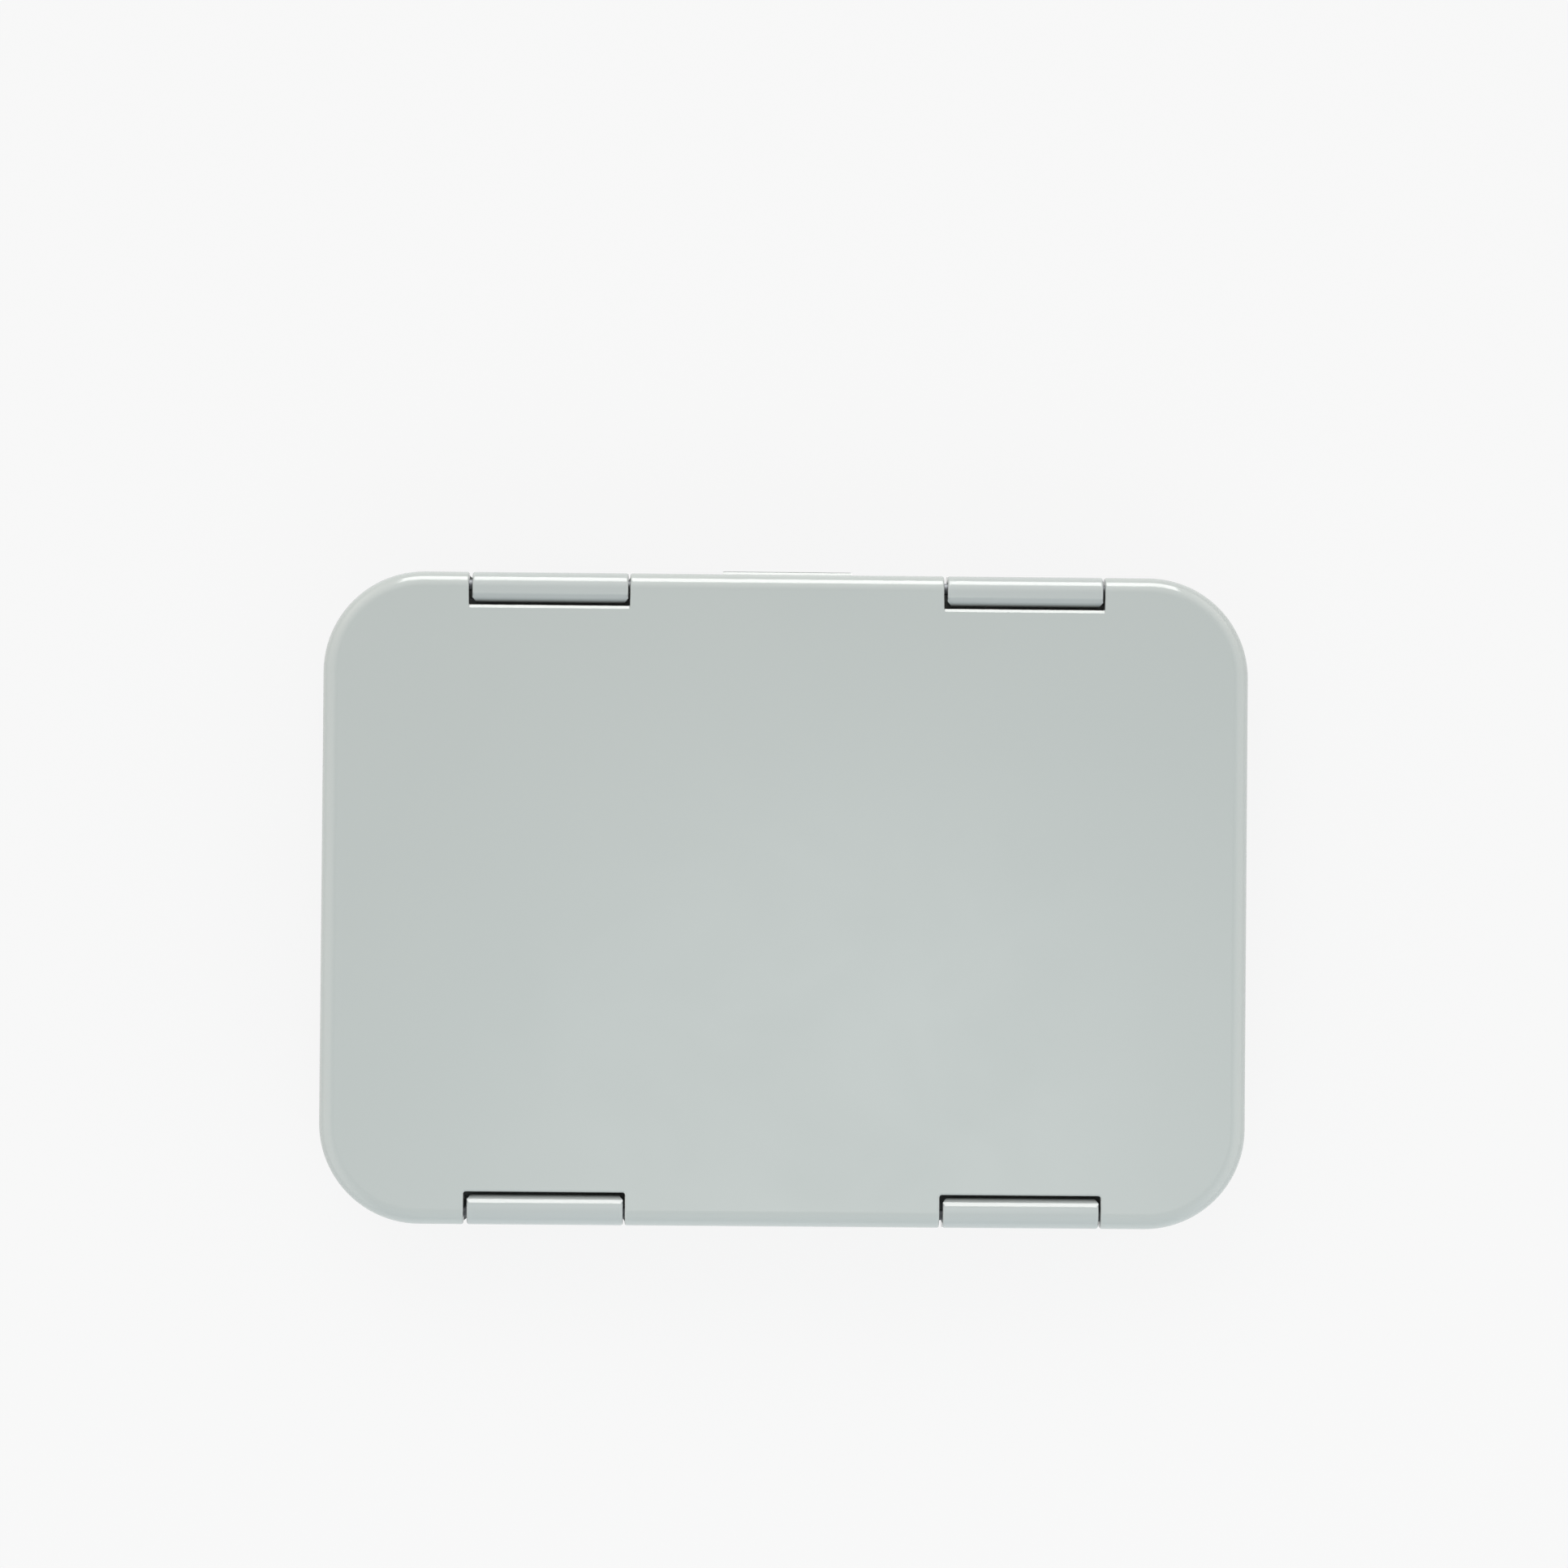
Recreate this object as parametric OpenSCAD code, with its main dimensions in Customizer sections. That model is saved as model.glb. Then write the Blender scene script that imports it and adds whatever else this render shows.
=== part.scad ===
// Wet palette: a flat latching case with a water tray, a sponge and a sheet of palette paper.
// The case lies on its feet with the lid up. X runs along the case, -Y is the front (the side
// that opens) and Z = 0 is the table. Four like clips hang on pins in notches of the lid. The
// front pair is undone to open the lid, and the lid turns on the pins of the rear pair.

/* [Case] */
// Length of the lid along X
case_w = 230; // [215:1:260]
// Depth of the lid along Y
case_d = 162; // [150:1:190]
// Height of the closed case, feet included
case_h = 32; // [31:0.5:38]
// Radius of the lid's corners, seen from above
corner_r = 25; // [22:0.5:30]
// Rounding of the lid's upper edge
lid_edge_r = 4; // [3:0.25:4.5]
// Rounding of the lower edge of the lid's skirt
skirt_edge_r = 1; // [0.8:0.1:1.2]
// Height of the lid
lid_h = 8; // [7.8:0.1:8.6]
// Open line between the lid and the base
reveal = 1; // [0.9:0.05:1.4]
// Wall of the lid and of the base
wall = 2; // [1.8:0.1:2.4]
// How far the base stands back from the lid's outline
base_inset = 0.6; // [0.4:0.1:1]
// Rounding of the base's lower edge
base_edge_r = 6; // [4:0.5:7]

/* [Clips] */
// Distance between the two clips of one side
clip_pitch = 118; // [106:1:124]
// Width of each notch in the lid
notch_w = 40; // [34:1:44]
// Depth of each notch from the lid's outline
notch_d = 8.3; // [8.1:0.1:8.6]
// Wall behind each notch
notch_wall = 1.8; // [1.4:0.1:2]
// Gap at each end of a clip
clip_side_gap = 0.65; // [0.4:0.05:1]
// Gap between a clip's inner edge and its notch
clip_end_gap = 0.8; // [0.6:0.05:1]
// Thickness of a clip's arm
clip_t = 2.8; // [2.4:0.1:3]
// Gap between a clip's arm and its catch
arm_gap = 0.5; // [0.4:0.1:0.8]
// Wall round the pin inside a clip
boss_wall = 1.5; // [1.2:0.1:1.8]
// Rounding of a clip's inner edge
clip_edge_r = 2.5; // [2.2:0.1:2.8]
// Reach of a clip below the top of the lid
clip_reach = 22.5; // [20:0.5:23]
// Height of the hook above the tip of the clip
hook_h = 4.2; // [3.6:0.1:5]
// How far the hook reaches under its catch
hook_bite = 1.9; // [1.2:0.1:2.2]
// Clearance between a hook and its catch
catch_gap = 0.3; // [0.2:0.05:0.5]
// Thickness of the catch
catch_t = 2.5; // [2:0.1:3]
// Depth of the pocket behind a clip, from the lid's outline
pocket_d = 7; // [6.8:0.1:7.5]
// Wall of a pocket in the base
pocket_wall = 1.8; // [1.4:0.1:2]

/* [Pins] */
// Diameter of a pin
pin_d = 2.8; // [2:0.1:3]
// Distance of a pin from the side of the lid
pin_inset = 3.3; // [3.2:0.05:3.5]
// Distance of a pin below the top of the lid
pin_drop = 3.8; // [3.7:0.05:4]
// Radial play of a clip on its pin
pin_play = 0.05; // [0.03:0.01:0.08]
// Radial play of a pin in the lid's ears
pin_fit = 0.01; // [0.01:0.01:0.03]
// Thickness of the lid's ears, beside each notch
ear_t = 2.4; // [2:0.1:3]
// How far a pin stops short of the outer face of its ears
pin_short = 0.2; // [0.1:0.1:0.6]

/* [Lift lip] */
// Length of the lip on the lid's front edge
lip_w = 32; // [24:1:40]
// How far the lip stands out
lip_out = 1; // [0.6:0.1:1.6]
// Thickness of the lip at its root
lip_t = 2; // [1.6:0.1:2.6]

/* [Tray] */
// Wall of the tray
tray_t = 1.8; // [1.4:0.1:2]
// Width of the border from the lid's outline to the well
border = 16; // [16:0.1:18]
// Radius of the well's corners
well_r = 9; // [7:0.5:12]
// Width of the step in the base's rim that carries the tray
rebate = 1; // [0.8:0.1:1.2]
// Fitting gap around the tray
tray_gap = 0.15; // [0.1:0.05:0.3]
// Gap between the tray and the pockets of the base
pocket_gap = 0.4; // [0.3:0.1:0.6]
// Gap between the tray's floor and the base's floor
tray_lift = 0.6; // [0.4:0.1:1]

/* [Sponge and paper] */
// Thickness of the sponge
sponge_t = 10; // [6:0.5:12]
// Gap between the sponge and the wall of the well
sponge_gap = 1; // [0.5:0.1:2]
// Thickness of the palette paper
paper_t = 0.2; // [0.1:0.05:0.4]
// Margin of sponge left bare around the paper
paper_margin = 1.5; // [0.5:0.5:4]

/* [Seal] */
// Gap between the seal and the ribs that hold it
seal_fit = 0.05; // [0.05:0.05:0.15]
// Width of the seal
seal_w = 2.6; // [2.2:0.1:3]
// Height of the sealing lip on the tray
seat_h = 1.6; // [1.2:0.1:1.8]
// Width of the sealing lip on the tray
seat_w = 1.4; // [1:0.1:1.6]
// Gap between the seal and the sealing lip
seal_gap = 0.2; // [0.1:0.05:0.3]
// Distance from the well's edge to the middle of the seal
seal_out = 3; // [2.8:0.1:3.2]
// How far the seal stands out of its channel
seal_proud = 0.8; // [0.5:0.1:1]
// Thickness of the lid's liner
liner_t = 1.4; // [1.2:0.1:1.8]
// Thickness of the ribs that hold the seal
rib_t = 1; // [0.8:0.1:1.1]

/* [Liner stakes] */
// Diameter of the stakes that hold the liner
stake_d = 3; // [2.5:0.1:3.5]
// Diameter of their heads
stake_head_d = 5; // [4.5:0.1:6]
// Height of their heads
stake_head_h = 0.8; // [0.6:0.1:1]
// Clearance around a stake
stake_gap = 0.1; // [0.05:0.05:0.2]
// Stakes in each of the two rows
stake_count = 4; // [3:1:6]
// Distance from the well's edge to the stakes
stake_in = 12; // [8:1:20]

/* [Feet] */
// Diameter of a foot
foot_d = 12; // [10:0.5:14]
// Thickness of a foot
foot_t = 2; // [1.6:0.1:2.4]
// How far the feet hold the base off the table
foot_stand = 1; // [0.8:0.1:1.3]
// Gap around a foot in its seat
foot_gap = 0.1; // [0.05:0.05:0.2]
// Distance of a foot's middle from both sides of the case
foot_inset = 24; // [20:0.5:30]

/* [Hidden] */
$fn = 64;
over = 1; // how far a cutting shape runs past the face it cuts

// Heights
lid_bottom = case_h - lid_h;
lid_under = case_h - wall;
base_top = lid_bottom - reveal;
base_floor = foot_stand + wall;
pin_z = case_h - pin_drop;
clip_tip = case_h - clip_reach;
hook_top = clip_tip + hook_h;
catch_bottom = hook_top + catch_gap;

// Outlines
base_w = case_w - 2 * base_inset;
base_d = case_d - 2 * base_inset;
base_r = corner_r - base_inset;
well_w = case_w - 2 * border;
well_d = case_d - 2 * border;
deck_w = base_w - 2 * (wall - rebate + tray_gap);
deck_d = base_d - 2 * (wall - rebate + tray_gap);
deck_r = base_r - (wall - rebate + tray_gap);
tray_floor = base_floor + tray_lift + tray_t;
sponge_w = well_w - 2 * sponge_gap;
sponge_d = well_d - 2 * sponge_gap;
sponge_r = well_r - sponge_gap;

// Clips, seen along X from the pin: positive is out of the case
pin_y = case_d / 2 - pin_inset;
clip_w = notch_w - 2 * clip_side_gap;
clip_in = notch_d - clip_end_gap - pin_inset;
arm_in = pin_inset - clip_t;
catch_out = arm_in - arm_gap;
hook_in = hook_bite - catch_out;
boss_r = pin_d / 2 + boss_wall;
hook_slope = 1.6; // height of the ramp under the hook

// Seal
seal_w_mid = well_w + 2 * seal_out;
seal_d_mid = well_d + 2 * seal_out;
seal_r_mid = well_r + seal_out;
seal_bottom = base_top + seat_h + seal_gap;
liner_bottom = lid_under - liner_t;
channel_w = seal_w + 2 * seal_fit;
liner_w = seal_w_mid + channel_w + 2 * rib_t;
liner_d = seal_d_mid + channel_w + 2 * rib_t;
liner_r = seal_r_mid + channel_w / 2 + rib_t;

// Carries a profile round a rectangle with rounded corners. In the profile X is the distance
// from the middle of a corner's arc and Y is the height.
module carry_round(w, d, r) {
    for (i = [0 : 3]) {
        run = i % 2 == 0 ? w - 2 * r : d - 2 * r;
        off = i % 2 == 0 ? d / 2 - r : w / 2 - r;
        rotate([0, 0, 90 * i]) {
            translate([-run / 2, off, 0])
                rotate([90, 0, 90])
                    linear_extrude(run)
                        children();
            translate([-run / 2, off, 0])
                rotate([0, 0, 90])
                    rotate_extrude(angle = 90)
                        children();
        }
    }
}

// A block with rounded corners and a rounded upper or lower edge
module rounded_block(w, d, r, z0, z1, top_r = 0, low_r = 0) {
    translate([-(w / 2 - r), -(d / 2 - r), z0])
        cube([w - 2 * r, d - 2 * r, z1 - z0]);
    carry_round(w, d, r)
        edge_profile(r, z0, z1, top_r, low_r);
}

module edge_profile(r, z0, z1, top_r, low_r) {
    translate([0, z0 + low_r])
        square([r, z1 - z0 - low_r - top_r]);
    if (top_r > 0) {
        translate([0, z1 - top_r])
            square([r - top_r, top_r]);
        translate([r - top_r, z1 - top_r])
            quarter(top_r);
    }
    if (low_r > 0) {
        translate([0, z0])
            square([r - low_r, low_r]);
        translate([r - low_r, z0 + low_r])
            mirror([0, 1])
                quarter(low_r);
    }
}

// A quarter of a disc
module quarter(r) {
    intersection() {
        circle(r);
        square(r);
    }
}

// A plain ring of rectangular section, from one outline in to the next
module ring(w, d, r, t, z0, z1) {
    carry_round(w, d, r)
        translate([r - t, z0])
            square([t, z1 - z0]);
}

// Places a shape drawn at a rear clip's place at one of the four clips
module at_clip(side, hand) {
    translate([hand * clip_pitch / 2, 0, 0])
        rotate([0, 0, side > 0 ? 0 : 180])
            children();
}

module at_clips() {
    for (side = [-1, 1], hand = [-1, 1])
        at_clip(side, hand)
            children();
}

module base_shell() {
    color("#aeb6b4") {
        difference() {
            rounded_block(base_w, base_d, base_r, foot_stand, base_top, 0, base_edge_r);
            difference() {
                base_cavity();
                at_clips()
                    pocket_walls();
            }
            at_clips()
                pocket_space();
            at_feet()
                translate([0, 0, foot_stand - over])
                    cylinder(d = foot_d + 2 * foot_gap, h = over + foot_t - foot_stand);
        }
        at_clips()
            catch();
    }
}

module base_cavity() {
    rounded_block(base_w - 2 * wall, base_d - 2 * wall, base_r - wall,
        base_floor, base_top + over, 0, base_edge_r - wall);
    rounded_block(base_w - 2 * (wall - rebate), base_d - 2 * (wall - rebate),
        base_r - wall + rebate, base_top - tray_t, base_top + over);
}

// The space that a pocket and its walls keep out of the base's cavity
module pocket_walls() {
    width = notch_w + 2 * pocket_wall;
    back = case_d / 2 - pocket_d - pocket_wall;
    translate([-width / 2, back, 0])
        cube([width, case_d / 2 - back, case_h]);
}

module pocket_space() {
    translate([-notch_w / 2, case_d / 2 - pocket_d, base_floor])
        cube([notch_w, pocket_d + over, case_h]);
}

// The bar that a clip's hook catches under
module catch() {
    back = case_d / 2 - pocket_d;
    translate([-notch_w / 2, back, catch_bottom])
        cube([notch_w, pin_y + catch_out - back, catch_t]);
}

module at_feet() {
    for (side = [-1, 1], hand = [-1, 1])
        translate([hand * (case_w / 2 - foot_inset), side * (case_d / 2 - foot_inset), 0])
            children();
}

module foot(side, hand) {
    color("#8d9492")
        translate([hand * (case_w / 2 - foot_inset), side * (case_d / 2 - foot_inset), 0])
            cylinder(d = foot_d, h = foot_t);
}

module inner_tray() {
    color("#eef0ee")
        difference() {
            union() {
                difference() {
                    rounded_block(deck_w, deck_d, deck_r, base_top - tray_t, base_top);
                    at_clips()
                        deck_cutout();
                }
                rounded_block(well_w + 2 * tray_t, well_d + 2 * tray_t, well_r + tray_t,
                    tray_floor - tray_t, base_top, 0, sponge_gap + tray_t);
                ring(seal_w_mid + seat_w, seal_d_mid + seat_w, seal_r_mid + seat_w / 2, seat_w,
                    base_top - tray_t / 2, base_top + seat_h);
            }
            rounded_block(well_w, well_d, well_r, tray_floor, base_top + seat_h + over,
                0, sponge_gap);
        }
}

// The piece taken out of the tray's rim at a pocket
module deck_cutout() {
    width = notch_w + 2 * (pocket_wall + pocket_gap);
    back = case_d / 2 - pocket_d - pocket_wall - pocket_gap;
    translate([-width / 2, back, 0])
        cube([width, case_d, case_h]);
}

module sponge() {
    color("#e9cf6a")
        rounded_block(sponge_w, sponge_d, sponge_r, tray_floor, tray_floor + sponge_t);
}

module palette_paper() {
    color("#f6f2e6")
        rounded_block(sponge_w - 2 * paper_margin, sponge_d - 2 * paper_margin,
            sponge_r - paper_margin, tray_floor + sponge_t, tray_floor + sponge_t + paper_t);
}

module lid_cover() {
    color("#c3c9c7") {
        difference() {
            rounded_block(case_w, case_d, corner_r, lid_bottom, case_h, lid_edge_r, skirt_edge_r);
            difference() {
                rounded_block(case_w - 2 * wall, case_d - 2 * wall, corner_r - wall,
                    lid_bottom - over, lid_under, lid_edge_r - wall, 0);
                at_clips()
                    notch_walls();
            }
            at_clips() {
                notch_space();
                ear_bore();
            }
        }
        lift_lip();
        at_stakes()
            stake();
    }
}

// The space that a notch, its ears and its back wall keep out of the lid's cavity
module notch_walls() {
    width = notch_w + 2 * ear_t;
    back = case_d / 2 - notch_d - notch_wall;
    translate([-width / 2, back, lid_bottom + skirt_edge_r])
        cube([width, case_d / 2 - back, lid_h]);
}

module notch_space() {
    translate([-notch_w / 2, case_d / 2 - notch_d, lid_bottom - over])
        cube([notch_w, notch_d + over, lid_h + 2 * over]);
}

module ear_bore() {
    translate([-(notch_w / 2 + ear_t), pin_y, pin_z])
        rotate([0, 90, 0])
            cylinder(r = pin_d / 2 + pin_fit, h = notch_w + 2 * ear_t);
}

// The lip under the front edge that a finger lifts the lid by
module lift_lip() {
    translate([lip_w / 2, -(case_d / 2 - wall / 2), lid_bottom + skirt_edge_r])
        rotate([90, 0, -90])
            linear_extrude(lip_w)
                polygon([
                    [0, 0], [wall / 2 + lip_out - skirt_edge_r / 2, 0],
                    [wall / 2 + lip_out, skirt_edge_r / 2],
                    [wall / 2 + lip_out, lip_t / 2], [wall / 2, lip_t], [0, lip_t]
                ]);
}

module at_stakes() {
    run = well_w - 2 * stake_in;
    for (side = [-1, 1], i = [0 : stake_count - 1])
        translate([-run / 2 + i * run / (stake_count - 1), side * (well_d / 2 - stake_in), 0])
            children();
}

// A stake under the lid, with its spread head
module stake() {
    translate([0, 0, liner_bottom - stake_head_h / 2])
        cylinder(d = stake_d, h = liner_t + stake_head_h / 2 + wall / 2);
    translate([0, 0, liner_bottom - stake_head_h])
        cylinder(d1 = stake_d, d2 = stake_head_d, h = stake_head_h);
}

module lid_liner() {
    color("#e8ebe9")
        difference() {
            union() {
                rounded_block(liner_w, liner_d, liner_r, liner_bottom, lid_under);
                ring(liner_w, liner_d, liner_r, rib_t, seal_bottom + seal_proud, lid_under);
                ring(seal_w_mid - channel_w, seal_d_mid - channel_w, seal_r_mid - channel_w / 2,
                    rib_t, seal_bottom + seal_proud, lid_under);
            }
            at_stakes()
                translate([0, 0, liner_bottom - over])
                    cylinder(d = stake_d + 2 * stake_gap, h = liner_t + 2 * over);
        }
}

module lid_seal() {
    color("#9fb0ad")
        ring(seal_w_mid + seal_w, seal_d_mid + seal_w, seal_r_mid + seal_w / 2, seal_w,
            seal_bottom, liner_bottom);
}

module clip(side, hand) {
    color("#b9c0be")
        at_clip(side, hand)
            translate([-clip_w / 2, pin_y, pin_z])
                rotate([90, 0, 90])
                    linear_extrude(clip_w)
                        clip_section();
}

// Section of a clip: X is out of the case and Y is up, from the middle of the pin
module clip_section() {
    tip = clip_tip - pin_z;
    hook = hook_top - pin_z;
    difference() {
        union() {
            clip_head();
            translate([arm_in, tip + clip_t / 2])
                square([clip_t, -tip - clip_t / 2]);
            translate([arm_in + clip_t / 2, tip + clip_t / 2])
                circle(d = clip_t);
            polygon([
                [arm_in + clip_t / 2, hook], [-hook_in, hook], [-hook_in, hook - hook_slope / 2],
                [arm_in, hook - hook_slope / 2 - hook_in - arm_in],
                [arm_in + clip_t / 2, hook - hook_slope / 2 - hook_in - arm_in]
            ]);
        }
        circle(r = pin_d / 2 + pin_play);
    }
}

// Head of a clip: flush with the lid above, and round the pin below
module clip_head() {
    width = clip_in + pin_inset;
    translate([-clip_in, -boss_r / 2])
        square([width, pin_drop - lid_edge_r + boss_r / 2]);
    translate([-clip_in, pin_drop - lid_edge_r])
        square([width - lid_edge_r, lid_edge_r - clip_edge_r]);
    translate([-clip_in + clip_edge_r, pin_drop - clip_edge_r])
        square([width - clip_edge_r - lid_edge_r, clip_edge_r]);
    translate([-clip_in + clip_edge_r, pin_drop - clip_edge_r])
        mirror([1, 0])
            quarter(clip_edge_r);
    translate([pin_inset - lid_edge_r, pin_drop - lid_edge_r])
        quarter(lid_edge_r);
    circle(boss_r);
}

module pin(side, hand) {
    length = notch_w + 2 * (ear_t - pin_short);
    color("silver")
        at_clip(side, hand)
            translate([-length / 2, pin_y, pin_z])
                rotate([0, 90, 0])
                    cylinder(d = pin_d, h = length);
}

base_shell();
foot(-1, -1);  // foot_front_left
foot(-1, 1);  // foot_front_right
foot(1, -1);  // foot_rear_left
foot(1, 1);  // foot_rear_right
inner_tray();
sponge();
palette_paper();
lid_cover();
lid_liner();
lid_seal();
clip(-1, -1);  // clip_front_left
clip(-1, 1);  // clip_front_right
clip(1, -1);  // clip_rear_left
clip(1, 1);  // clip_rear_right
pin(-1, -1);  // pin_front_left
pin(-1, 1);  // pin_front_right
pin(1, -1);  // pin_rear_left
pin(1, 1);  // pin_rear_right
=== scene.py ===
"""Wet palette: the closed case with its clips, and the tray, sponge and paper inside it.

Sizes are in millimetres, and MM turns them into metres where a piece is built.
X runs along the case, -Y is the front, where the case opens, and Z = 0 is the table.
"""

import math

import bmesh
import bpy
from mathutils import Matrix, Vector, noise


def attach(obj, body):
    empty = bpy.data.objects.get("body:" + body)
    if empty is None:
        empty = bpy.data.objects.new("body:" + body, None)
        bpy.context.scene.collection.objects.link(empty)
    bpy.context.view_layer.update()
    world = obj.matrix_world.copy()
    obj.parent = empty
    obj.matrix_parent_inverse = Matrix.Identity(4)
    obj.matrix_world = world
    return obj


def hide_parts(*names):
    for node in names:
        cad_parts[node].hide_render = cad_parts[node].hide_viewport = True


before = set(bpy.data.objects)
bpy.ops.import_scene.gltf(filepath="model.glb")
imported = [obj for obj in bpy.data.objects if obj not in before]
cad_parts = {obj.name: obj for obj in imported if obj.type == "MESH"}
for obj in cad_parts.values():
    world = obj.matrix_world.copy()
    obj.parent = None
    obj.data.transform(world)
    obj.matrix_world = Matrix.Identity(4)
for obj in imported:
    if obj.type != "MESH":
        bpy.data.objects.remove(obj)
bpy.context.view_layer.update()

MM = 0.001

# Case
CASE_W, CASE_D, CASE_H = 230.0, 162.0, 32.0
CORNER_R, WALL = 25.0, 2.0
LID_Z, LID_EDGE_R, SKIRT_EDGE_R = 24.0, 4.0, 1.0
BASE_TOP, BASE_BOTTOM, BASE_FLOOR = 23.0, 1.0, 3.0
BASE_EDGE_R, BASE_IN = 6.0, 0.6
FOOT_X, FOOT_Y, FOOT_R, FOOT_SEAT_R = 91.0, 57.0, 6.0, 6.1

# Lift lip, with the slope along its outer end
LIP_HALF, LIP_OUT, LIP_LOW, LIP_HIGH = 16.0, 0.74, 25.0, 27.0
LIP_SLOPE_OUT, LIP_SLOPE_DROP = 0.6, 0.45

# Notches, clips, pins and pockets. CLIP_SLOPE is in degrees, and side -1 is the front.
CLIP_X, NOTCH_W, NOTCH_D = 59.0, 40.0, 8.3
NOTCH_WALL, EAR_T, NOTCH_EDGE_R = 1.8, 2.4, 0.5
NOTCH_CORNER_R = {-1: 0.35, 1: 0.6}
FLARE_DROP, FLARE_RUN = 0.48, 0.72
PIN_Y, PIN_Z, PIN_R = 77.7, 28.2, 1.4
CLIP_W, CLIP_IN_Y, CLIP_TIP = 38.7, 73.5, 9.5
ARM_IN_Y, HOOK_IN_Y, HOOK_TOP, HOOK_LOW = 78.2, 75.8, 13.7, 10.5
BOSS_R, BORE_R = 2.9, 1.45
CLIP_SLOPE_D, CLIP_SLOPE, CLIP_INNER_R = 2.05, 34, 2.5
CLIP_END_R, CLIP_CORNER_IN, CLIP_PLAY = 0.6, 0.45, 0.2
POCKET_D, POCKET_WALL, DRAFT = 7.0, 1.8, 0.031
CATCH_Y, CATCH_Z0, CATCH_Z1 = 77.7, 14.0, 16.5

# Tray, sponge, paper and seal
DECK_W, DECK_D, DECK_R, DECK_T = 226.5, 158.5, 23.25, 1.8
WELL_W, WELL_D, WELL_R, TRAY_FLOOR = 198.0, 130.0, 9.0, 5.4
SPONGE_W, SPONGE_D, SPONGE_R, SPONGE_TOP = 196.0, 128.0, 8.0, 15.4
PAPER_W, PAPER_D, PAPER_R, SHEET_T = 193.0, 125.0, 6.5, 0.12
SEAL_W_MID, SEAL_D_MID, SEAL_R_MID = 204.0, 136.0, 12.0
SEAL_W, SEAL_LOW, SEAT_W, SEAT_TOP = 2.6, 24.8, 1.4, 24.6
LINER_LOW, LINER_TOP, RIB_LOW, RIB_T, CHANNEL_W = 28.6, 30.0, 25.6, 1.0, 2.7

# How far a cutting tool reaches past the skin, and how finely corners are stepped
PAST = 6
CASE_STEPS, INNER_STEPS = 24, 18

SPOTS = [(side, hand) for side in (-1, 1) for hand in (-1, 1)]
SIDE_NAME = {-1: "front", 1: "rear"}
HAND_NAME = {-1: "left", 1: "right"}


# ---------------------------------------------------------------- modelling by hand


def pick_up(piece):
    """Makes one piece the only one selected, in object mode."""
    if bpy.context.view_layer.objects.active and bpy.context.mode != "OBJECT":
        bpy.ops.object.mode_set(mode="OBJECT")
    bpy.ops.object.select_all(action="DESELECT")
    if piece:
        piece.select_set(True)
        bpy.context.view_layer.objects.active = piece


def keep_place(piece):
    """Puts the piece's place and size into its mesh."""
    pick_up(piece)
    bpy.ops.object.transform_apply(location=True, rotation=True, scale=True)


def just_made(name):
    """The object that was added last, with its name."""
    piece = bpy.context.object
    piece.name = piece.data.name = name
    return piece


def block(name, low, high):
    """A block between two corners."""
    pick_up(None)
    middle = [(a + b) / 2 * MM for a, b in zip(low, high)]
    bpy.ops.mesh.primitive_cube_add(size=1, location=middle)
    piece = just_made(name)
    piece.scale = [(b - a) * MM for a, b in zip(low, high)]
    keep_place(piece)
    return piece


def round_bar(name, radius, length, middle, turn, sides):
    """A round bar about its middle point, upright until it is turned about Y."""
    pick_up(None)
    bpy.ops.mesh.primitive_cylinder_add(
        vertices=sides, radius=radius * MM, depth=length * MM,
        location=[v * MM for v in middle], rotation=(0, turn, 0))
    piece = just_made(name)
    keep_place(piece)
    return piece


def rod(name, radius, x0, x1, y, z, sides=64):
    """A round bar along X."""
    return round_bar(name, radius, x1 - x0, ((x0 + x1) / 2, y, z), math.pi / 2, sides)


def post(name, radius, x, y, z0, z1, sides=64):
    """A round post along Z."""
    return round_bar(name, radius, z1 - z0, (x, y, (z0 + z1) / 2), 0, sides)


def choose(piece, kind, wanted):
    """Opens the piece for editing with only the wanted edges or faces selected."""
    pick_up(piece)
    bpy.ops.object.mode_set(mode="EDIT")
    bpy.ops.mesh.select_mode(type=kind)
    bpy.ops.mesh.select_all(action="DESELECT")
    mesh = bmesh.from_edit_mesh(piece.data)
    parts = mesh.edges if kind == "EDGE" else mesh.faces
    chosen = [part for part in parts if wanted(part)]
    for part in chosen:
        part.select_set(True)
    bmesh.update_edit_mesh(piece.data)
    return len(chosen)


def round_edges(piece, wanted, radius, steps):
    """Rounds the wanted edges of a piece."""
    if choose(piece, "EDGE", wanted):
        bpy.ops.mesh.bevel(offset=radius * MM, segments=steps, profile=0.5,
                           affect="EDGES", clamp_overlap=False)
    bpy.ops.object.mode_set(mode="OBJECT")


def pull_faces(piece, wanted, by):
    """Extrudes the wanted faces of a piece by a step in millimetres."""
    choose(piece, "FACE", wanted)
    bpy.ops.mesh.extrude_region_move(
        TRANSFORM_OT_translate={"value": [v * MM for v in by]})
    bpy.ops.object.mode_set(mode="OBJECT")


def slide_edges(piece, wanted, by):
    """Moves the wanted edges of a piece by a step in millimetres."""
    choose(piece, "EDGE", wanted)
    bpy.ops.transform.translate(value=[v * MM for v in by])
    bpy.ops.object.mode_set(mode="OBJECT")


def slice_at(piece, axis, place):
    """Cuts a loop of edges across the piece where one coordinate has a value."""
    pick_up(piece)
    bpy.ops.object.mode_set(mode="EDIT")
    bpy.ops.mesh.select_all(action="SELECT")
    point, normal = [0, 0, 0], [0, 0, 0]
    point[axis], normal[axis] = place * MM, 1
    bpy.ops.mesh.bisect(plane_co=point, plane_no=normal, threshold=1e-6)
    bpy.ops.object.mode_set(mode="OBJECT")


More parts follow.
